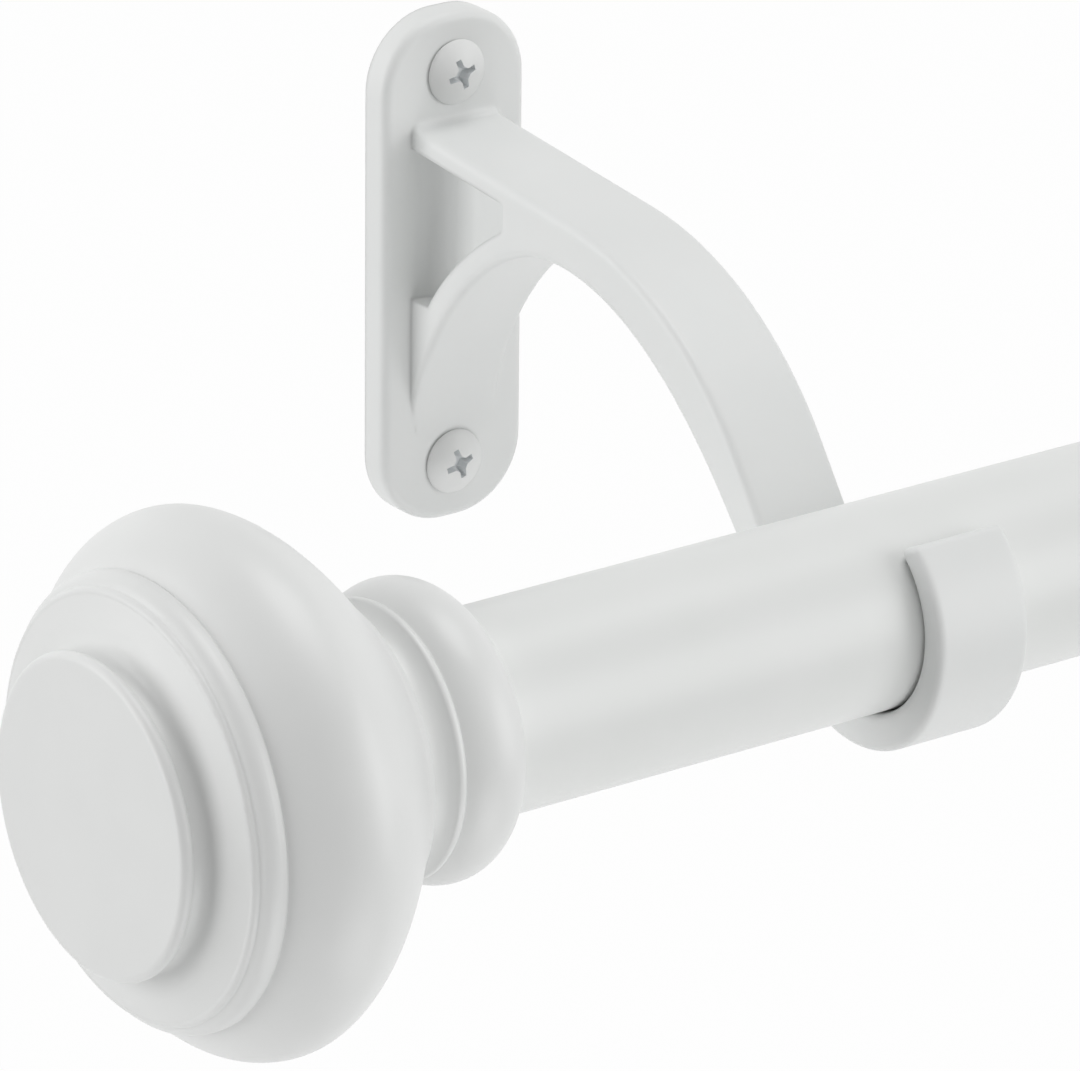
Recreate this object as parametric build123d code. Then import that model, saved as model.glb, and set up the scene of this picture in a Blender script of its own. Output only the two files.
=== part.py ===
from build123d import *
import os
from math import cos, radians, sin, tan

# A telescoping curtain rod: two steel tubes, a cast wall bracket near each end
# and a turned finial on each end.
# Millimetres. X runs along the rod to the right, -Y points from the wall into the room, Z is up.
# The origin is the middle of the left wall plate's back face, on the wall.

# rod
outer_diameter = 25.4
inner_diameter = 22.2
tube_wall = 0.8
closed_span = 711.0        # between the mouths of the two finials with the rod pushed together
mouth_space = 34.0         # from the outer tube's mouth to the right bracket
tail_space = 17.7          # from the inner tube's hidden end to the left plug
rod_reach = 97.0           # wall to the rod's axis
rod_drop = 14.6            # rod's axis below the middle of the wall plate
overhang = 66.4            # middle of a bracket to the mouth of its finial

# fits
seat_gap = 0.05            # between pieces that are pressed or screwed together
slide_gap = 0.08           # between pieces that slide on each other, on the radius
rod_clearance = 0.3        # between a tube and the cradle under it
overcut = 1.0              # how far a cutter runs past the face it opens
touch = 0.01               # nearer than this counts as lying on a face

# wall plate
plate_height = 68.7
plate_width = 22.0
plate_thickness = 4.2
plate_corner = 9.8
plate_edge = 1.2
screw_spacing = 53.0

# arm, seen from the side: distances from the wall and heights above the middle of the plate
arm_width = 13.6
arm_edge = 0.9
arm_top = 20.3
arm_fall = 5.0             # degrees that the top face falls as it leaves the wall
arm_dive = 54.5            # degrees that the front face falls behind the rod
arm_bend = 48.0
root_fillet = 1.1
root_flat = 2.0
root_depth = 3.0           # how far the arm is sunk into the plate
arch_share = 0.3557        # how far along the reach the crown of the arch is
arch_height = 10.8
arch_foot = -21.5
arch_lean = 17.5           # length of the arch's pull from its crown towards the wall
foot_lean = 9.5            # length of the arch's pull up the plate
under_dive = 50.0
under_straight = 21.0

# scooped pocket on each side of the arm, beside the plate
pocket_flange = 2.5
pocket_wall = 3.3          # from the pocket to the arch, along the leg
pocket_crown_wall = 1.9    # the same at the pocket's front end
pocket_corner = 3.8        # between the pocket's floor and the plate
pocket_depth = 4.5
pocket_end = 24.0
pocket_foot = 0.62         # how far down the leg of the arch the pocket reaches

# cradle
cradle_wall = 3.75
cradle_sink = 1.0          # outer circle's centre below the rod's axis, which thickens the floor
lip_seat_angle = 53.0      # how far the lip climbs round the rod, above level, on its inner face
lip_back_angle = 49.0      # the same on its outer face
lip_round = 0.9

# screws
screw_shank = 4.2
screw_shoulder = 4.6
screw_hole_gap = 0.2
screw_length = 8.3         # behind the plate
screw_tip = 3.0
screw_head = 8.3
screw_head_height = 2.3
screw_head_edge = 0.7      # height of the head's widest place
screw_head_undercut = 0.5
cross_span = 4.4
cross_slot = 1.1
cross_core = 2.2           # square between the slots, set cornerwise
cross_turn = 18.0          # degrees that the wall screws' recesses are turned
cross_depth = 1.5
cross_taper = 14.0         # degrees that the recess narrows on each side
set_screw = 4.0
set_screw_socket = 2.0
set_screw_socket_depth = 2.0

# finial, along its axis from the front face, then radii
finial_length = 51.05
disc_radius = 19.5
disc_round = 0.9           # the disc is a thin button with a half-round edge
cove_radius = 18.3
cove_depth = 2.6           # how far the cove is pulled in behind the disc
cove_lean = 0.6            # how much of the step's slope the cove takes up
step_start = 4.3
step_start_radius = 22.2
step_end = 5.2
step_end_radius = 25.15
step_bulge = 0.2
valley_at = 6.0
valley_radius = 25.95
valley_fillet = 0.25
bead_radius = 27.35
bead_crown = 7.9
bead_bulge = 0.25
bead_end = 8.7
groove_depth = 0.15
groove_width = 0.5
belly_radius = 32.8
belly_crown = 18.0
belly_front_lean = 5.0
belly_rear_lean = 5.8
belly_end = 33.0
belly_end_radius = 20.95
shoulder_end = 35.1
shoulder_radius = 19.0
shoulder_round = 0.3
neck_radius = 15.2
neck_fillet = 0.9
flare_start = 37.0
flare_lean = 1.6
rim_at = 40.5
rim_radius = 17.05
rim_half = 0.55
rim_crown = 0.35
ring_round = 5.7
ring_centre = 12.75
socket_depth = 10.0

# finial fixing
plug_base = 2.0
plug_reach = 26.0
plug_core = 6.2
plug_hollow = 4.4
fin_count = 8
fin_width = 1.6
fin_lead = 2.0
end_gap = 0.3
plug_screw_shank = 3.4
plug_screw_head = 6.8
plug_screw_head_height = 2.2
plug_screw_length = 18.0
plug_screw_tip = 4.0
sleeve_show = 1.6

# slides inside the rod
bush_length = 14.0
bush_flange = 1.6
slide_cap = 3.0
slide_stub = 12.0
slide_wall = 1.6

# worked-out sizes
outer_radius = outer_diameter / 2
inner_radius = inner_diameter / 2
outer_bore = outer_radius - tube_wall
inner_bore = inner_radius - tube_wall
seat_radius = outer_radius + rod_clearance
cradle_radius = seat_radius + cradle_wall
ring_at = finial_length - ring_round
socket_start = finial_length - socket_depth
tube_start = socket_start + plug_base + end_gap
tube_in_socket = finial_length - tube_start
left_mouth = -overhang
right_mouth = left_mouth + closed_span
left_tube_end = left_mouth - tube_in_socket
right_tube_end = right_mouth + tube_in_socket
right_bracket_x = right_mouth - overhang
outer_mouth = right_bracket_x - arm_width / 2 - mouth_space - bush_flange
plug_tip = socket_start + plug_base + plug_reach
inner_tail = left_mouth - finial_length + plug_tip + tail_space + slide_cap
arch_reach = rod_reach * arch_share
right_lift = outer_radius - inner_radius   # the right bracket stands higher, to carry the thinner tube

side_plane = Plane((0, 0, 0), x_dir=(0, -1, 0), z_dir=(-1, 0, 0))


def top_height(reach):
    """Height of the arm's top face at a distance from the wall."""
    return arm_top - reach * tan(radians(arm_fall))


def arm_curves():
    """The arm and cradle's side outline, as curves in order, with the leg of the arch last but two."""
    axis = Vector(rod_reach, -rod_drop)
    outer = axis - Vector(0, cradle_sink)
    dive, under = radians(arm_dive), radians(under_dive)
    seat_in = axis - Vector(sin(dive), cos(dive)) * seat_radius
    seat_out = outer - Vector(sin(under), cos(under)) * cradle_radius
    slope = tan(radians(arm_fall))
    corner_reach = (arm_top - seat_in.Y - seat_in.X * tan(dive)) / (slope - tan(dive))
    corner = Vector(corner_reach, top_height(corner_reach))
    root = Vector(plate_thickness, top_height(plate_thickness))
    buried = plate_thickness - root_depth
    shelf = root + Vector(0, root_flat)

    seat_arc = CenterArc(axis, seat_radius, 270 - arm_dive, lip_seat_angle + 90 + arm_dive)
    back_arc = CenterArc(outer, cradle_radius, lip_back_angle, -lip_back_angle - 90 - under_dive)

    straight = seat_out + Vector(-cos(under), sin(under)) * under_straight
    crown = Vector(arch_reach, arch_height)
    pull = straight + Vector(-cos(under), sin(under)) * ((arch_height - straight.Y) / sin(under))
    foot = Vector(plate_thickness, arch_foot)
    arch = Bezier(straight, pull, crown)
    leg = Bezier(crown, crown - Vector(arch_lean, 0), foot + Vector(0, foot_lean), foot)
    return [
        Polyline((buried, shelf.Y), shelf, root, corner, seat_in),
        seat_arc,
        Line(seat_arc @ 1, back_arc @ 0),
        back_arc,
        Line(back_arc @ 1, straight),
        arch,
        leg,
        Line(foot, (buried, arch_foot)),
        Line((buried, arch_foot), (buried, shelf.Y)),
    ], (root, corner, seat_arc @ 1, back_arc @ 0)


def corner_near(sketch, point):
    return sketch.vertices().sort_by_distance(point)[0]


def arm_solid():
    """Arm, arch and hooked cradle as one extruded outline with soft edges."""
    curves, (root, corner, lip_in, lip_out) = arm_curves()
    face = make_face(Curve() + curves)
    for point, radius in ((corner, arm_bend), (root, root_fillet), (lip_in, lip_round), (lip_out, lip_round)):
        face = fillet(corner_near(face, point), radius)
    arm = extrude(side_plane * face, arm_width / 2, both=True)
    proud = arm.edges().filter_by(Axis.X, reverse=True).filter_by(
        lambda edge: edge.center().Y < -plate_thickness + touch)
    return fillet(proud, arm_edge)


def pocket_cutter():
    """Scoop beside the plate: its outline follows the top flange and the arch, and its floor runs out."""
    leg = arm_curves()[0][6]
    rim = []
    for station in (pocket_foot / 2, pocket_foot * 3 / 4, pocket_foot):
        tangent = leg % station
        rim.append(leg @ station + Vector(tangent.Y, -tangent.X) * pocket_wall)
    past = pocket_end + overcut
    rim_start = Vector(past, arch_height + pocket_crown_wall)
    outline = make_face(Curve() + [
        Spline([rim_start, *rim]),
        Polyline(rim[-1], (plate_thickness, rim[-1].Y),
                 (plate_thickness, top_height(plate_thickness) - pocket_flange),
                 (past, top_height(past) - pocket_flange), rim_start),
    ])
    side = arm_width / 2
    floor_start, floor_end = (side - pocket_depth, -plate_thickness), (side, -pocket_end)
    plan = make_face(Curve() + [
        TangentArc(floor_start, floor_end, tangent=(0, -1)),
        Polyline(floor_end, (side + overcut, -pocket_end), (side + overcut, -plate_thickness), floor_start),
    ])
    plan = fillet(corner_near(plan, floor_start), pocket_corner)
    sides = extrude(side_plane * outline, arm_width, both=True)
    return sides & extrude(plan, plate_height, both=True)


def scooped_arm():
    """Arm with a pocket on each side."""
    scoop = pocket_cutter()
    return arm_solid() - scoop - mirror(scoop, Plane.YZ)


def bracket():
    """One casting: wall plate, arm with scooped pockets, and cradle with a hole for its set screw."""
    back = Plane.XZ * RectangleRounded(plate_width, plate_height, plate_corner)
    plate = extrude(back, plate_thickness)
    plate = fillet(plate.faces().sort_by(Axis.Y)[0].edges(), plate_edge)
    casting = plate + scooped_arm()
    hole_depth = plate_thickness + overcut
    hole = Cylinder(screw_shoulder / 2 + screw_hole_gap, 2 * hole_depth, rotation=(90, 0, 0))
    for height in (-screw_spacing / 2, screw_spacing / 2):
        casting -= Pos(0, 0, height) * hole
    tapped = Cylinder(set_screw / 2 + seat_gap, 2 * cradle_radius,
                      align=(Align.CENTER, Align.CENTER, Align.MAX))
    return casting - Pos(0, -rod_reach, -rod_drop) * tapped


def cross_recess():
    """Cross-shaped driver recess, narrowing as it goes down from the origin along -Z."""
    slot = Rectangle(cross_span, cross_slot) + Rectangle(cross_slot, cross_span)
    slot += Rectangle(cross_core, cross_core, rotation=45)
    return extrude(slot, -cross_depth, taper=cross_taper)


def domed_screw(head, height, edge, shoulder, shoulder_length, shank, length, tip):
    """Pan-head screw along -Z, with the underside of its head at the origin."""
    outline = Polyline(
        (0, height), (0, -length), (shank / 2, tip - length), (shank / 2, -shoulder_length),
        (shoulder / 2, -shoulder_length), (shoulder / 2, 0), (head / 2 - screw_head_undercut, 0),
        (head / 2, edge))
    dome = TangentArc((0, height), (head / 2, edge), tangent=(1, 0))
    body = revolve(Plane.XZ * make_face(outline + dome), Axis.Z)
    return body - Pos(0, 0, height) * cross_recess()


def wall_screws():
    screw = domed_screw(screw_head, screw_head_height, screw_head_edge, screw_shoulder, plate_thickness,
                        screw_shank, plate_thickness + screw_length, screw_tip)
    stand = Rotation(90, 0, 0) * Rotation(0, 0, cross_turn) * screw
    return [Pos(0, -plate_thickness, height) * stand for height in (-screw_spacing / 2, screw_spacing / 2)]


def set_screw_solid():
    """Headless screw up through the cradle's floor, with a hexagon socket in its lower end."""
    top = -seat_radius + rod_clearance / 2
    bottom = -cradle_radius - cradle_sink + lip_round
    body = Pos(0, 0, bottom) * Cylinder(set_screw / 2, top - bottom,
                                        align=(Align.CENTER, Align.CENTER, Align.MIN))
    socket = extrude(RegularPolygon(set_screw_socket / 2, 6, major_radius=False), set_screw_socket_depth)
    return Pos(0, -rod_reach, -rod_drop) * (body - Pos(0, 0, bottom) * socket)


def finial_outline():
    """Half section of the finial: distance from its front face, then radius."""
    disc_edge = disc_radius - disc_round
    disc_back = 2 * disc_round
    step_from, step_to = Vector(step_start, step_start_radius), Vector(step_end, step_end_radius)
    bead_start = (valley_at + bead_crown) / 2, (valley_radius + bead_radius) / 2
    step_middle = (step_end + valley_at) / 2, (step_end_radius + valley_radius) / 2
    groove_end = bead_end + groove_width
    belly_start = bead_radius + groove_depth
    rim_side = rim_radius - rim_crown
    curves = [
        Line((0, 0), (0, disc_edge)),
        CenterArc((disc_round, disc_edge), disc_round, 180, -180),
        Line((disc_back, disc_edge), (disc_back, cove_radius)),
        Bezier((disc_back, cove_radius), (disc_back + cove_depth, cove_radius),
               step_from - (step_to - step_from) * cove_lean, step_from),
        Line(step_from, step_to),
        ThreePointArc(step_to, (step_middle[0] - step_bulge, step_middle[1] + step_bulge),
                      (valley_at, valley_radius)),
        ThreePointArc((valley_at, valley_radius), (bead_start[0] - bead_bulge, bead_start[1] + bead_bulge),
                      (bead_crown, bead_radius)),
        Polyline((bead_crown, bead_radius), (bead_end, bead_radius),
                 (bead_end + groove_width / 2, bead_radius - groove_depth), (groove_end, belly_start)),
        Bezier((groove_end, belly_start), (belly_crown - belly_front_lean, belly_radius),
               (belly_crown, belly_radius)),
        Bezier((belly_crown, belly_radius), (belly_crown + belly_rear_lean, belly_radius),
               (belly_end, belly_end_radius)),
        Polyline((belly_end, belly_end_radius), (shoulder_end, shoulder_radius), (shoulder_end, neck_radius),
                 (flare_start, neck_radius)),
        Bezier((flare_start, neck_radius), (rim_at - flare_lean, neck_radius), (rim_at - rim_half, rim_side)),
        ThreePointArc((rim_at - rim_half, rim_side), (rim_at, rim_radius), (rim_at + rim_half, rim_side)),
        Polyline((rim_at + rim_half, rim_side), (ring_at, neck_radius), (ring_at, 0), (0, 0)),
    ]
    face = make_face(Curve() + curves)
    for corner, radius in (((valley_at, valley_radius), valley_fillet),
                           ((shoulder_end, shoulder_radius), shoulder_round),
                           ((shoulder_end, neck_radius), neck_fillet)):
        face = fillet(corner_near(face, corner), radius)
    return face


def finial(end_radius):
    """Turned finial along X, front face at the origin facing -X, with a socket for a rod of this radius."""
    section = finial_outline() + Pos(ring_at, ring_centre) * Circle(ring_round)
    socket_radius = end_radius + slide_gap
    socket = Pos(socket_start, 0) * Rectangle(
        socket_depth + overcut, socket_radius, align=(Align.MIN, Align.MIN))
    pilot_depth = plug_screw_length - plug_base + end_gap
    pilot = Pos(socket_start - pilot_depth, 0) * Rectangle(
        pilot_depth, plug_screw_shank / 2 + seat_gap, align=(Align.MIN, Align.MIN))
    return revolve(Plane.XZ * (section - socket - pilot), Axis.X)


def grip_plug(bore):
    """Moulded plug screwed to the finial: its fins press into a tube of this bore."""
    tip = plug_tip
    start = socket_start + plug_base
    core = revolve(Plane.XZ * make_face(Polyline(
        (socket_start, plug_screw_shank / 2 + seat_gap), (socket_start, outer_bore), (start, outer_bore),
        (start, plug_core), (tip, plug_core), (tip, plug_hollow), (start, plug_hollow),
        (start, plug_screw_shank / 2 + seat_gap), (socket_start, plug_screw_shank / 2 + seat_gap))), Axis.X)
    reach = bore - slide_gap
    root = (plug_core + plug_hollow) / 2
    fin = Plane.XZ * make_face(Polyline(
        (start, root), (start, reach), (tip - fin_lead, reach), (tip, reach - fin_lead), (tip, root),
        (start, root)))
    blade = extrude(fin, fin_width / 2, both=True)
    for index in range(fin_count):
        core += Rotation(360 / fin_count * index, 0, 0) * blade
    return core


def plug_screw():
    """Screw through the plug's base into the finial."""
    screw = domed_screw(plug_screw_head, plug_screw_head_height, screw_head_edge, plug_screw_shank, plug_base,
                        plug_screw_shank - 2 * seat_gap, plug_screw_length, plug_screw_tip)
    return Pos(socket_start + plug_base, 0, 0) * Rotation(0, 90, 0) * screw


def sleeve(inner, outer, start, length):
    return Pos(start, 0, 0) * extrude(Plane.YZ * (Circle(outer) - Circle(inner)), length)


def glide_bush():
    """Plastic lining in the mouth of the outer tube, with a flange that covers the cut edge."""
    lining = sleeve(inner_radius + slide_gap, outer_bore - seat_gap, outer_mouth - bush_length, bush_length)
    flange = sleeve(inner_radius + slide_gap, outer_radius, outer_mouth, bush_flange)
    return lining + flange


def slide_plug():
    """Plastic cap on the hidden end of the inner tube, which keeps it central in the outer tube."""
    cap = sleeve(inner_bore - slide_wall, outer_bore - slide_gap, inner_tail - slide_cap, slide_cap)
    stub = sleeve(inner_bore - slide_wall, inner_bore - seat_gap, inner_tail, slide_stub)
    return cap + stub


def end_sleeve():
    """Plastic sleeve that brings the inner tube's end up to the outer tube's diameter, for the finial."""
    length = tube_in_socket + sleeve_show
    return sleeve(inner_radius + seat_gap, outer_radius, right_mouth - sleeve_show, length)


def on_axis(solid):
    return Pos(0, -rod_reach, -rod_drop) * solid


left_place = Pos(left_mouth - finial_length, -rod_reach, -rod_drop)
right_place = Pos(right_mouth + finial_length, -rod_reach, -rod_drop)
right_stand = Pos(right_bracket_x, 0, right_lift)
casting = bracket()
turned = finial(outer_radius)

nodes = {
    "outer_tube": on_axis(sleeve(outer_bore, outer_radius, left_tube_end, outer_mouth - left_tube_end)),
    "glide_bush": on_axis(glide_bush()),
    "left_bracket": casting,
    "left_wall_screws": Compound(children=wall_screws()),
    "left_set_screw": set_screw_solid(),
    "inner_tube": on_axis(sleeve(inner_bore, inner_radius, inner_tail, right_tube_end - inner_tail)),
    "slide_plug": on_axis(slide_plug()),
    "end_sleeve": on_axis(end_sleeve()),
    "right_bracket": right_stand * casting,
    "right_wall_screws": Compound(children=[right_stand * screw for screw in wall_screws()]),
    "right_set_screw": right_stand * set_screw_solid(),
    "left_finial": left_place * turned,
    "left_grip_plug": left_place * grip_plug(outer_bore),
    "left_plug_screw": left_place * plug_screw(),
    "right_finial": right_place * mirror(turned, Plane.YZ),
    "right_grip_plug": right_place * mirror(grip_plug(inner_bore), Plane.YZ),
    "right_plug_screw": right_place * mirror(plug_screw(), Plane.YZ),
}

os.makedirs("parts", exist_ok=True)
for name, solid in nodes.items():
    export_step(solid, f"parts/{name}.step")
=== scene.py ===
from math import atan2, cos, hypot, pi, radians, sin, sqrt, tan

import bpy
from mathutils import Matrix, Vector


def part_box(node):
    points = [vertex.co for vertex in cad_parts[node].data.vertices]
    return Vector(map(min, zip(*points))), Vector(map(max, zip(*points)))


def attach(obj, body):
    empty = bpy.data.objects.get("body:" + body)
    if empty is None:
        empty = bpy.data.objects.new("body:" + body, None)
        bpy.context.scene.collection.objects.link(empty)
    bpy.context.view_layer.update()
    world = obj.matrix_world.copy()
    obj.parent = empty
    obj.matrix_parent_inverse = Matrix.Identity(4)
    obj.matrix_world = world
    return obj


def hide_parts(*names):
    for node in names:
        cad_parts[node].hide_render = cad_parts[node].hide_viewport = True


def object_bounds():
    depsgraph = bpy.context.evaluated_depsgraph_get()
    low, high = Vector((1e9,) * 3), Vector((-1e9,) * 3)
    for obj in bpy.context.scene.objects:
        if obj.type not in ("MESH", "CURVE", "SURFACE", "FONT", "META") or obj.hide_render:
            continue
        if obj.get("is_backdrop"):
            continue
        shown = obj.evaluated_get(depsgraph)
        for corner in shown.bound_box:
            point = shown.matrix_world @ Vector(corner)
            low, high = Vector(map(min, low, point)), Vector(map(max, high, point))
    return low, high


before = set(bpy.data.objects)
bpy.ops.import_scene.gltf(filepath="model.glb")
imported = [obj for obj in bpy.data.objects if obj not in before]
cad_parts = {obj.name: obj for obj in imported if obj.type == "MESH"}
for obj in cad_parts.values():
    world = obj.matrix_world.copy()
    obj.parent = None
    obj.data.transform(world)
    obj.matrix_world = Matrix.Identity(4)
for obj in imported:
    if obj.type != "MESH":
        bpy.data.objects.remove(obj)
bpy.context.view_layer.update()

# Wall brackets. Each one is a single zinc casting: a plate for the wall, an arm with an arch under it
# and a scooped pocket on each side, and a hooked cradle for the rod. It is tumbled smooth, sprayed
# white and baked.
mm = 0.001


def linear(hex_colour):
    """A colour written as sRGB hex, in the linear values that sockets take."""
    parts = [int(hex_colour[place:place + 2], 16) / 255 for place in (1, 3, 5)]
    parts = [part / 12.92 if part <= 0.04045 else ((part + 0.055) / 1.055) ** 2.4 for part in parts]
    return (*parts, 1.0)


def bare_material(name):
    """A material with an empty node tree."""
    material = bpy.data.materials.new(name)
    material.use_nodes = True
    material.node_tree.nodes.clear()
    return material


def add_node(material, kind, sockets=None, links=None, **settings):
    """Adds a node, with its settings, the values of its sockets and the outputs that are linked to it."""
    node = material.node_tree.nodes.new(kind)
    for name, value in settings.items():
        setattr(node, name, value)
    for name, value in (sockets or {}).items():
        node.inputs[name].default_value = value
    for name, output in (links or {}).items():
        material.node_tree.links.new(output, node.inputs[name])
    return node


# Sprayed and baked enamel on zinc: a cool satin white with a faint orange peel. The film is a little
# thicker here and there, which shows as a slow change of gloss, and it rounds the rims of the pockets.
film_patch, peel_cell, peel_height, rim_round = 14.0, 1.1, 0.012, 1.0    # mm
rim_samples = 8
casting_enamel = bare_material("sprayed_enamel_on_zinc")
place = add_node(casting_enamel, "ShaderNodeTexCoord").outputs["Object"]
film = add_node(casting_enamel, "ShaderNodeTexNoise", {"Scale": 1 / (film_patch * mm), "Detail": 2.0},
                {"Vector": place})
tone = add_node(casting_enamel, "ShaderNodeMix", {6: linear("#DCDEDD"), 7: linear("#E2E3E2")},
                {0: film.outputs["Fac"]}, data_type="RGBA")
gloss = add_node(casting_enamel, "ShaderNodeMapRange", {"To Min": 0.38, "To Max": 0.50},
                 {"Value": film.outputs["Fac"]})
peel = add_node(casting_enamel, "ShaderNodeTexNoise", {"Scale": 1 / (peel_cell * mm), "Detail": 1.0},
                {"Vector": place})
rims = add_node(casting_enamel, "ShaderNodeBevel", {"Radius": rim_round * mm}, samples=rim_samples)
skin = add_node(casting_enamel, "ShaderNodeBump", {"Distance": peel_height * mm},
                {"Height": peel.outputs["Fac"], "Normal": rims.outputs["Normal"]})
paint = add_node(casting_enamel, "ShaderNodeBsdfPrincipled", {"IOR": 1.5},
                 {"Base Color": tone.outputs[2], "Roughness": gloss.outputs[0],
                  "Normal": skin.outputs[0]})
add_node(casting_enamel, "ShaderNodeOutputMaterial", None, {"Surface": paint.outputs[0]})
for node in ("left_bracket", "right_bracket"):
    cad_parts[node].material_slots[0].material = casting_enamel

# Wall screws. Two short pan-head steel screws hold each plate. Their heads are sprayed with the bracket,
# and the recess and the rolled thread show bare zinc plate.
# Millimetres and degrees.
plate_thickness, screw_spacing = 4.2, 53.0
head_radius, head_height, head_edge, head_undercut, head_round = 4.4, 1.85, 0.25, 0.5, 0.18
shoulder_radius = 2.3
thread_crest, thread_root, thread_pitch, thread_share = 2.1, 1.6, 1.4, 0.64
thread_length, thread_tip, thread_lead, tip_point = 8.3, 3.0, 0.6, 0.12
cross_span, cross_slot, cross_core = 4.4, 1.1, 2.2
cross_depth, cross_taper, cross_turn, core_turn, cross_overcut = 1.5, 14.0, 18.0, 63.0, 0.3
crease_angle, weld_gap, nearness = 35.0, 0.001, 0.01
recess_margin, recess_skin = 0.1, 0.06    # how far past a slot, and how far in, a face counts as sunk
rows_in_pitch, screw_sides, dome_rows, round_rows = 8, 64, 9, 3
unpainted, half_worn, painted = 1.0, 0.5, 0.0
head_top = -plate_thickness - head_height
dome_drop = head_height - head_edge
dome_radius = (head_radius ** 2 + dome_drop ** 2) / (2 * dome_drop)


def dome_depth(radius):
    """How far along the axis the domed face of a head is, at a distance from the axis."""
    return head_top + dome_radius - sqrt(dome_radius ** 2 - radius ** 2)


def draw_wire(name, points):
    """Starts a piece as one vertex, and extrudes it from point to point."""
    bpy.ops.object.select_all(action="DESELECT")
    bpy.ops.mesh.primitive_plane_add(size=mm)
    piece = bpy.context.object
    piece.name = piece.data.name = name
    bpy.ops.object.mode_set(mode="EDIT")
    bpy.ops.mesh.select_mode(type="VERT")
    bpy.ops.mesh.merge(type="CENTER")
    bpy.ops.transform.translate(value=points[0])
    for here, there in zip(points, points[1:]):
        bpy.ops.mesh.extrude_vertices_move(TRANSFORM_OT_translate={"value": there - here})
    bpy.ops.mesh.select_all(action="SELECT")
    return piece


def pick_edges(piece, chosen):
    """Selects, in edit mode, the edges that a test of the places of their two ends chooses."""
    bpy.ops.object.mode_set(mode="EDIT")
    bpy.ops.mesh.select_mode(type="EDGE")
    bpy.ops.mesh.select_all(action="DESELECT")
    bpy.ops.object.mode_set(mode="OBJECT")
    corners = [vertex.co / mm for vertex in piece.data.vertices]
    for edge in piece.data.edges:
        edge.select = all(chosen(corners[index]) for index in edge.vertices)
    bpy.ops.object.mode_set(mode="EDIT")


def apply_modifier(piece, kind, **settings):
    """Adds a modifier and applies it, in object mode."""
    bpy.ops.object.mode_set(mode="OBJECT")
    bpy.context.view_layer.objects.active = piece
    modifier = piece.modifiers.new(kind, kind)
    for name, value in settings.items():
        setattr(modifier, name, value)
    bpy.ops.object.modifier_apply(modifier=modifier.name)


def punch_out(piece, wide, tall, turn):
    """Presses a tapered block into the top of a screw's head."""
    length = cross_depth + cross_overcut
    bpy.ops.object.mode_set(mode="OBJECT")
    bpy.ops.object.select_all(action="DESELECT")
    bpy.ops.mesh.primitive_cube_add(size=1.0)
    block = bpy.context.object
    bpy.ops.object.mode_set(mode="EDIT")
    bpy.ops.transform.resize(value=(wide * mm, length * mm, tall * mm))
    bpy.ops.transform.translate(value=(0, (head_top - cross_overcut + length / 2) * mm, 0))
    pick_edges(block, lambda corner: corner.y > head_top)
    narrowing = 2 * length * tan(radians(cross_taper))
    bpy.ops.transform.resize(value=(1 - narrowing / wide, 1, 1 - narrowing / tall))
    bpy.ops.object.mode_set(mode="OBJECT")
    block.rotation_euler.y = -radians(turn)
    bpy.ops.object.transform_apply(location=False, rotation=True, scale=False)
    apply_modifier(piece, "BOOLEAN", object=block, operation="DIFFERENCE", solver="EXACT")
    bpy.data.meshes.remove(block.data)


def thread_radius(along, turn):
    """Radius of the threaded shank at a place behind the plate and an angle round the axis."""
    narrow = min((thread_length - along) / thread_tip, 1.0)
    phase = (along / thread_pitch - turn / (2 * pi)) % 1.0
    ridge = max(1 - abs(phase - 0.5) * 2 / thread_share, 0.0) * min(along / thread_lead, 1.0)
    return max((thread_root + (thread_crest - thread_root) * ridge) * narrow, tip_point)


def wall_screw():
    """One screw along Y, with the back of the plate at the origin."""
    dome = [head_radius * row / dome_rows for row in range(dome_rows + 1)]
    profile = [(radius, dome_depth(radius)) for radius in dome]
    profile += [(head_radius - head_undercut, -plate_thickness), (shoulder_radius, -plate_thickness),
                (shoulder_radius, 0.0)]
    rows = round(thread_length / thread_pitch * rows_in_pitch)
    profile += [(thread_root, thread_length * row / rows) for row in range(rows)]
    profile += [(0.0, thread_length)]
    screw = draw_wire("wall_screw", [Vector((radius, along, 0)) * mm for radius, along in profile])
    bpy.ops.mesh.spin(steps=screw_sides, angle=2 * pi, center=(0, 0, 0), axis=(0, 1, 0))
    bpy.ops.mesh.select_all(action="SELECT")
    bpy.ops.mesh.remove_doubles(threshold=weld_gap * mm)
    bpy.ops.mesh.normals_make_consistent(inside=False)
    pick_edges(screw, lambda corner: hypot(corner.x, corner.z) > head_radius - nearness)
    bpy.ops.mesh.bevel(offset=head_round * mm, segments=round_rows)
    bpy.ops.object.mode_set(mode="OBJECT")
    for vertex in screw.data.vertices:
        across, along = hypot(vertex.co.x, vertex.co.z), vertex.co.y / mm
        if along >= 0 and 0 < across < (shoulder_radius - weld_gap) * mm:
            grow = thread_radius(along, atan2(vertex.co.z, vertex.co.x)) * mm / across
            vertex.co.x, vertex.co.z = vertex.co.x * grow, vertex.co.z * grow
    punch_out(screw, cross_span, cross_slot, cross_turn)
    punch_out(screw, cross_slot, cross_span, cross_turn)
    punch_out(screw, cross_core, cross_core, core_turn)
    return screw


def mark_bare_steel(screw):
    """Marks the faces where paint is short: half worn in the recess, and none behind the head."""
    marks = screw.data.attributes.new("bare_steel", "FLOAT", "FACE")
    for face in screw.data.polygons:
        middle = face.center / mm
        across = hypot(middle.x, middle.z)
        sunk = across < cross_span / 2 + recess_margin and middle.y > dome_depth(across) + recess_skin
        behind = middle.y > -plate_thickness - nearness
        marks.data[face.index].value = unpainted if behind else half_worn if sunk else painted


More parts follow.
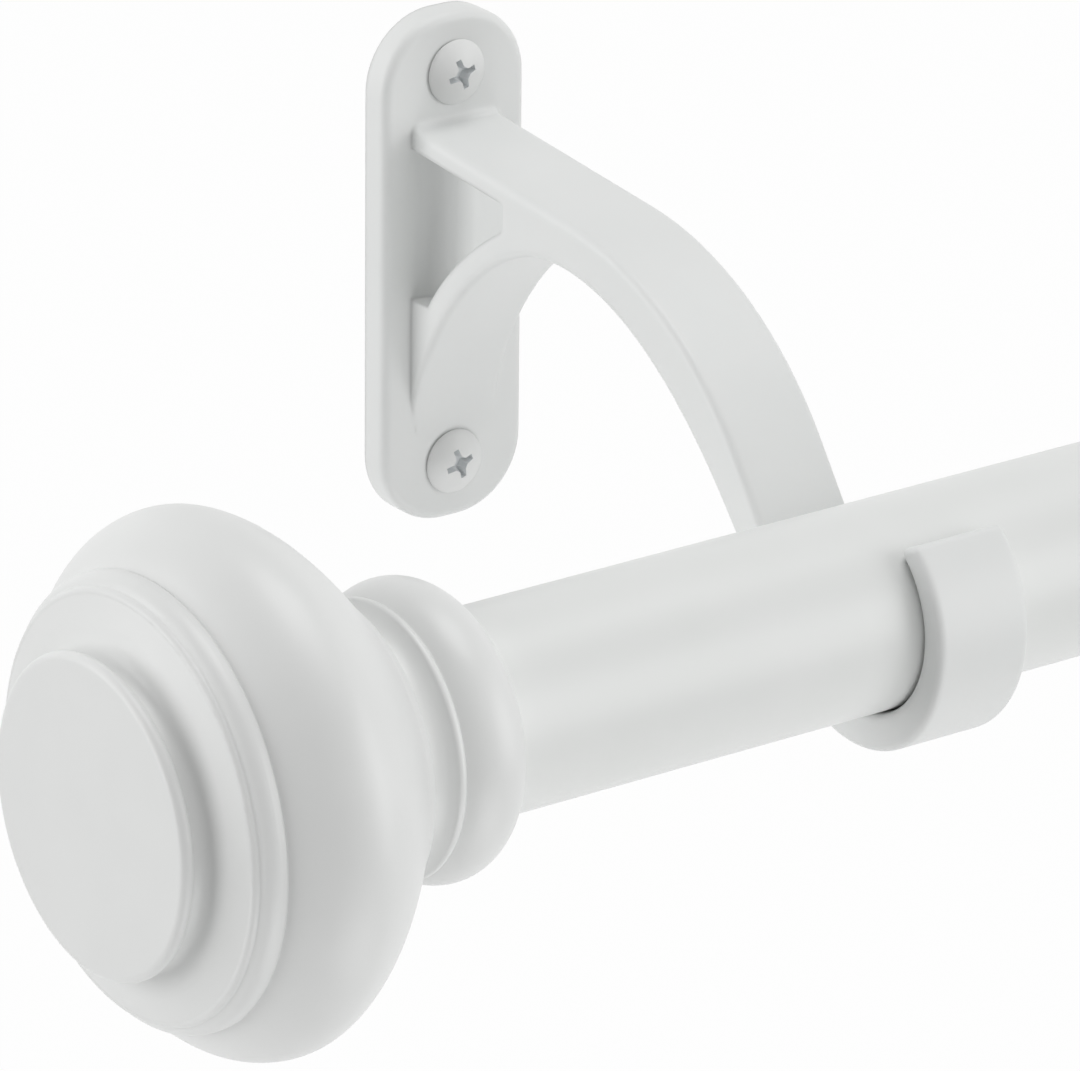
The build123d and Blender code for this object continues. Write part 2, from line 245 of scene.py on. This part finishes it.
first_screw = wall_screw()
mark_bare_steel(first_screw)
bpy.ops.object.select_all(action="DESELECT")
first_screw.select_set(True)
bpy.context.view_layer.objects.active = first_screw
bpy.ops.object.shade_smooth_by_angle(angle=radians(crease_angle))
apply_modifier(first_screw, "WEIGHTED_NORMAL", keep_sharp=True)

# Enamel over zinc plate: satin white on the head, and in the recess and on the thread the blue-grey
# gleam of plate, duller where the driver bit.
bite_size, plate_grain, grain_height = 0.5, 0.25, 0.006    # mm
screw_enamel = bare_material("enamel_worn_to_zinc_plate")
place = add_node(screw_enamel, "ShaderNodeTexCoord").outputs["Object"]
bare = add_node(screw_enamel, "ShaderNodeAttribute", attribute_name="bare_steel").outputs["Fac"]
bites = add_node(screw_enamel, "ShaderNodeTexNoise", {"Scale": 1 / (bite_size * mm), "Detail": 3.0},
                 {"Vector": place})
plate_tone = add_node(screw_enamel, "ShaderNodeMix", {6: linear("#CDD2D6"), 7: linear("#E3E6E8")},
                      {0: bites.outputs["Fac"]}, data_type="RGBA")
tone = add_node(screw_enamel, "ShaderNodeMix", {6: linear("#DFE0DF")},
                {0: bare, 7: plate_tone.outputs[2]}, data_type="RGBA")
worn_gloss = add_node(screw_enamel, "ShaderNodeMapRange", {"To Min": 0.44, "To Max": 0.5},
                      {"Value": bare})
shine = add_node(screw_enamel, "ShaderNodeMapRange", {"To Max": 0.5}, {"Value": bare})
grain = add_node(screw_enamel, "ShaderNodeTexNoise", {"Scale": 1 / (plate_grain * mm), "Detail": 2.0},
                 {"Vector": place})
skin = add_node(screw_enamel, "ShaderNodeBump", {"Distance": grain_height * mm},
                {"Height": grain.outputs["Fac"]})
paint = add_node(screw_enamel, "ShaderNodeBsdfPrincipled", None,
                 {"Base Color": tone.outputs[2], "Metallic": shine.outputs[0],
                  "Roughness": worn_gloss.outputs[0], "Normal": skin.outputs[0]})
add_node(screw_enamel, "ShaderNodeOutputMaterial", None, {"Surface": paint.outputs[0]})
first_screw.data.materials.append(screw_enamel)

for node, body in (("left_wall_screws", "outer_rod"), ("right_wall_screws", "inner_rod")):
    lowest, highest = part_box(node)
    across, level = (lowest[0] + highest[0]) / 2, (lowest[2] + highest[2]) / 2
    bpy.ops.object.select_all(action="DESELECT")
    for height in (-screw_spacing / 2, screw_spacing / 2):
        screw = first_screw.copy()
        screw.data = first_screw.data.copy()
        screw.data.transform(Matrix.Translation((across, 0, level + height * mm)))
        bpy.context.scene.collection.objects.link(screw)
        screw.select_set(True)
        bpy.context.view_layer.objects.active = screw
    bpy.ops.object.join()
    pair = bpy.context.object
    pair.name = pair.data.name = node + "_threaded"
    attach(pair, body)
    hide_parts(node)
bpy.data.meshes.remove(first_screw.data)

# Rod. Two steel tubes, rolled and drawn, one sliding in the other, and both sprayed with the same white
# enamel. The thicker one hangs in the left cradle and the thinner one in the right.
# Enamel on drawn tube: smoother and glossier than on the castings, over fine lines along the tube.
draw_line, draw_run, draw_height = 0.45, 60.0, 0.003    # mm
tube_peel, tube_peel_height = 1.6, 0.008    # mm
tube_enamel = bare_material("enamel_on_drawn_steel_tube")
place = add_node(tube_enamel, "ShaderNodeTexCoord").outputs["Object"]
along_tube = add_node(tube_enamel, "ShaderNodeMapping", {"Scale": (draw_line / draw_run, 1, 1)},
                      {"Vector": place})
draw_lines = add_node(tube_enamel, "ShaderNodeTexNoise", {"Scale": 1 / (draw_line * mm), "Detail": 2.0},
                      {"Vector": along_tube.outputs[0]})
film = add_node(tube_enamel, "ShaderNodeTexNoise", {"Scale": 1 / (film_patch * mm), "Detail": 2.0},
                {"Vector": place})
tone = add_node(tube_enamel, "ShaderNodeMix", {6: linear("#DEE0DE"), 7: linear("#E3E4E3")},
                {0: film.outputs["Fac"]}, data_type="RGBA")
gloss = add_node(tube_enamel, "ShaderNodeMapRange", {"To Min": 0.34, "To Max": 0.42},
                 {"Value": film.outputs["Fac"]})
peel = add_node(tube_enamel, "ShaderNodeTexNoise", {"Scale": 1 / (tube_peel * mm), "Detail": 1.0},
                {"Vector": place})
lines = add_node(tube_enamel, "ShaderNodeBump", {"Distance": draw_height * mm},
                 {"Height": draw_lines.outputs["Fac"]})
skin = add_node(tube_enamel, "ShaderNodeBump", {"Distance": tube_peel_height * mm},
                {"Height": peel.outputs["Fac"], "Normal": lines.outputs[0]})
paint = add_node(tube_enamel, "ShaderNodeBsdfPrincipled", {"IOR": 1.5},
                 {"Base Color": tone.outputs[2], "Roughness": gloss.outputs[0],
                  "Normal": skin.outputs[0]})
add_node(tube_enamel, "ShaderNodeOutputMaterial", None, {"Surface": paint.outputs[0]})
for node in ("outer_tube", "inner_tube"):
    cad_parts[node].material_slots[0].material = tube_enamel

# Tube fittings. A bush lines the mouth of the thicker tube, and a sleeve brings the end of the thinner
# tube up to the finial's socket: both are moulded in white plastic and pushed on.
# Moulded white nylon: matt from the spark-eroded mould, and a little soft where light enters it.
spark_cell, spark_height = 0.35, 0.010    # mm
white_nylon = bare_material("moulded_white_nylon")
place = add_node(white_nylon, "ShaderNodeTexCoord").outputs["Object"]
sparks = add_node(white_nylon, "ShaderNodeTexVoronoi", {"Scale": 1 / (spark_cell * mm)},
                  {"Vector": place})
flow = add_node(white_nylon, "ShaderNodeTexNoise", {"Scale": 1 / (film_patch * mm), "Detail": 2.0},
                {"Vector": place})
tone = add_node(white_nylon, "ShaderNodeMix", {6: linear("#D9D9D5"), 7: linear("#E0E0DC")},
                {0: flow.outputs["Fac"]}, data_type="RGBA")
skin = add_node(white_nylon, "ShaderNodeBump", {"Distance": spark_height * mm},
                {"Height": sparks.outputs["Distance"]})
plastic = add_node(white_nylon, "ShaderNodeBsdfPrincipled",
                   {"IOR": 1.53, "Roughness": 0.55,
                    "Subsurface Weight": 0.1, "Subsurface Scale": 0.8 * mm},
                   {"Base Color": tone.outputs[2], "Normal": skin.outputs[0]})
add_node(white_nylon, "ShaderNodeOutputMaterial", None, {"Surface": plastic.outputs[0]})
for node in ("glide_bush", "end_sleeve"):
    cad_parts[node].material_slots[0].material = white_nylon

# Hidden mouldings. A plug on the inner end of the thinner tube keeps it central, and a finned plug
# grips the inside of each tube's end to hold its finial. All are moulded without colour.
# Natural nylon: milky and waxy, warmer than the white, with a soft sheen.
natural_nylon = bare_material("moulded_natural_nylon")
place = add_node(natural_nylon, "ShaderNodeTexCoord").outputs["Object"]
flow = add_node(natural_nylon, "ShaderNodeTexNoise", {"Scale": 1 / (film_patch * mm), "Detail": 3.0},
                {"Vector": place})
tone = add_node(natural_nylon, "ShaderNodeMix", {6: linear("#D2CFC4"), 7: linear("#DDDBD2")},
                {0: flow.outputs["Fac"]}, data_type="RGBA")
sparks = add_node(natural_nylon, "ShaderNodeTexVoronoi", {"Scale": 1 / (spark_cell * mm)},
                  {"Vector": place})
skin = add_node(natural_nylon, "ShaderNodeBump", {"Distance": spark_height * mm},
                {"Height": sparks.outputs["Distance"]})
plastic = add_node(natural_nylon, "ShaderNodeBsdfPrincipled",
                   {"IOR": 1.53, "Roughness": 0.48,
                    "Subsurface Weight": 0.3, "Subsurface Scale": 1.5 * mm},
                   {"Base Color": tone.outputs[2], "Normal": skin.outputs[0]})
add_node(natural_nylon, "ShaderNodeOutputMaterial", None, {"Surface": plastic.outputs[0]})
for node in ("slide_plug", "left_grip_plug", "right_grip_plug"):
    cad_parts[node].material_slots[0].material = natural_nylon

# Small screws. A headless screw in each cradle's floor pins the rod, and a screw through each finned
# plug holds it to its finial. They are steel, cut and zinc plated.
# Zinc plate on steel: a cold grey metal, with fine spangle and a gloss dulled by passivation.
spangle_size = 0.6    # mm
zinc_plate = bare_material("zinc_plated_steel")
place = add_node(zinc_plate, "ShaderNodeTexCoord").outputs["Object"]
spangle = add_node(zinc_plate, "ShaderNodeTexNoise", {"Scale": 1 / (spangle_size * mm), "Detail": 3.0},
                   {"Vector": place})
tone = add_node(zinc_plate, "ShaderNodeMix", {6: linear("#A9AEB3"), 7: linear("#C8CCD0")},
                {0: spangle.outputs["Fac"]}, data_type="RGBA")
gloss = add_node(zinc_plate, "ShaderNodeMapRange", {"To Min": 0.28, "To Max": 0.44},
                 {"Value": spangle.outputs["Fac"]})
metal = add_node(zinc_plate, "ShaderNodeBsdfPrincipled", {"Metallic": 1.0},
                 {"Base Color": tone.outputs[2], "Roughness": gloss.outputs[0]})
add_node(zinc_plate, "ShaderNodeOutputMaterial", None, {"Surface": metal.outputs[0]})
for node in ("left_set_screw", "right_set_screw", "left_plug_screw", "right_plug_screw"):
    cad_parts[node].material_slots[0].material = zinc_plate

# Finials. Each one is cast in resin from a turned master, with a socket for the rod's end, and lacquered
# white. It slides on with its plug.
# Lacquer on resin: a softer satin than the enamel, a little fuller in its hollows, over the faint
# rings of the turned master.
ring_width, ring_height, lacquer_peel, lacquer_height, edge_fill = 0.7, 0.002, 1.8, 0.012, 0.3    # mm
ring_stretch = 1000    # the pattern is this much longer across the axis, so that each ring runs all round
resin_lacquer = bare_material("lacquered_cast_resin")
place = add_node(resin_lacquer, "ShaderNodeTexCoord").outputs["Object"]
along_axis = add_node(resin_lacquer, "ShaderNodeMapping",
                      {"Scale": (1, 1 / ring_stretch, 1 / ring_stretch)}, {"Vector": place})
rings = add_node(resin_lacquer, "ShaderNodeTexNoise", {"Scale": 1 / (ring_width * mm), "Detail": 1.0},
                 {"Vector": along_axis.outputs[0]})
film = add_node(resin_lacquer, "ShaderNodeTexNoise", {"Scale": 1 / (film_patch * mm), "Detail": 2.0},
                {"Vector": place})
tone = add_node(resin_lacquer, "ShaderNodeMix", {6: linear("#DBDCDB"), 7: linear("#E1E2E1")},
                {0: film.outputs["Fac"]}, data_type="RGBA")
gloss = add_node(resin_lacquer, "ShaderNodeMapRange", {"To Min": 0.34, "To Max": 0.43},
                 {"Value": film.outputs["Fac"]})
peel = add_node(resin_lacquer, "ShaderNodeTexNoise", {"Scale": 1 / (lacquer_peel * mm), "Detail": 1.0},
                {"Vector": place})
edges = add_node(resin_lacquer, "ShaderNodeBevel", {"Radius": edge_fill * mm}, samples=rim_samples)
turned = add_node(resin_lacquer, "ShaderNodeBump", {"Distance": ring_height * mm},
                  {"Height": rings.outputs["Fac"], "Normal": edges.outputs["Normal"]})
skin = add_node(resin_lacquer, "ShaderNodeBump", {"Distance": lacquer_height * mm},
                {"Height": peel.outputs["Fac"], "Normal": turned.outputs[0]})
lacquer = add_node(resin_lacquer, "ShaderNodeBsdfPrincipled", {"IOR": 1.5},
                   {"Base Color": tone.outputs[2], "Roughness": gloss.outputs[0],
                    "Normal": skin.outputs[0]})
add_node(resin_lacquer, "ShaderNodeOutputMaterial", None, {"Surface": lacquer.outputs[0]})
for node in ("left_finial", "right_finial"):
    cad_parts[node].material_slots[0].material = resin_lacquer

# Room. A pale floor below the rod, which keeps its shadow, and a sky that looks white and lights softly.
floor_drop, floor_size, lamp_distance = 2.2, 20.0, 2.5    # m
floor_glow, sky_light = 0.98, 0.38    # share of the floor that shines, and strength of the sky's light


def seen_by_eye(shading):
    """1 for the rays that show a surface, straight or by way of gloss or glass, and 0 for the rest."""
    rays = add_node(shading, "ShaderNodeLightPath")
    seen = rays.outputs["Is Camera Ray"]
    for other in ("Is Glossy Ray", "Is Transmission Ray"):
        seen = add_node(shading, "ShaderNodeMath", None, {0: seen, 1: rays.outputs[other]},
                        operation="MAXIMUM").outputs[0]
    return seen


bpy.ops.object.select_all(action="DESELECT")
bpy.ops.mesh.primitive_plane_add(size=floor_size, location=(0, 0, -floor_drop))
floor = bpy.context.object
floor.name = "floor"
pale = bare_material("pale_floor")
share = add_node(pale, "ShaderNodeMath", {1: floor_glow}, {0: seen_by_eye(pale)}, operation="MULTIPLY")
matt = add_node(pale, "ShaderNodeBsdfDiffuse", {"Color": linear("#F8F8F8")})
glow = add_node(pale, "ShaderNodeEmission", {"Color": linear("#FFFFFF"), "Strength": 1.0})
both = add_node(pale, "ShaderNodeMixShader", None,
                {0: share.outputs[0], 1: matt.outputs[0], 2: glow.outputs[0]})
add_node(pale, "ShaderNodeOutputMaterial", None, {"Surface": both.outputs[0]})
floor.data.materials.append(pale)
floor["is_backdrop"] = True

world = bpy.data.worlds.new("studio")
bpy.context.scene.world = world
world.use_nodes = True
world.node_tree.nodes.clear()
sky = add_node(world, "ShaderNodeBackground", {"Color": linear("#FFFFFF"), "Strength": sky_light})
white = add_node(world, "ShaderNodeBackground", {"Color": linear("#FFFFFF"), "Strength": 1.0})
both = add_node(world, "ShaderNodeMixShader", None,
                {0: seen_by_eye(world), 1: sky.outputs[0], 2: white.outputs[0]})
add_node(world, "ShaderNodeOutputWorld", None, {"Surface": both.outputs[0]})


def softbox(name, direction, size, power):
    """A square lamp at a set distance from the left wall plate, turned towards it: metres and watts."""
    lamp = bpy.data.lights.new(name, "AREA")
    lamp.shape = "SQUARE"
    lamp.size, lamp.energy = size, power
    box = bpy.data.objects.new(name, lamp)
    bpy.context.scene.collection.objects.link(box)
    away = Vector(direction).normalized()
    box.location = away * lamp_distance
    box.rotation_euler = (-away).to_track_quat("-Z", "Y").to_euler()
    box.visible_camera = False


softbox("left_softbox", (-0.85, 0.46, 0.10), size=2.2, power=40.0)
softbox("right_softbox", (0.64, -0.73, 0.14), size=1.8, power=22.0)
softbox("top_softbox", (0.15, -0.1, 1.0), size=1.6, power=29.5)
softbox("low_softbox", (-0.02, -0.6, -0.75), size=1.8, power=23.0)

# Camera, at the photograph's angle and frame.
azimuth, elevation, roll = radians(36.2478), radians(21.7544), radians(0.565)
eye = Vector((-638.152, -893.730, 400.002)) * mm
focal_length, frame_width = 9099.04, 1080.0    # pixels of the photograph
sensor_width, far_clip = 36.0, 50.0    # mm, m
right = Vector((cos(azimuth), -sin(azimuth), 0))
ahead = Vector((sin(azimuth) * cos(elevation), cos(azimuth) * cos(elevation), -sin(elevation)))
up = right.cross(ahead)
right, up = right * cos(roll) + up * sin(roll), up * cos(roll) - right * sin(roll)
lens = bpy.data.cameras.new("camera")
lens.sensor_fit = "HORIZONTAL"
lens.sensor_width = sensor_width
lens.lens = focal_length * sensor_width / frame_width
lens.clip_end = far_clip
camera = bpy.data.objects.new("camera", lens)
bpy.context.scene.collection.objects.link(camera)
turn = Matrix((right, up, -ahead)).transposed().to_4x4()
camera.matrix_world = Matrix.Translation(eye) @ turn
bpy.context.scene.camera = camera
bpy.context.scene.view_settings.view_transform = "Standard"

lowest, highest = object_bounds()
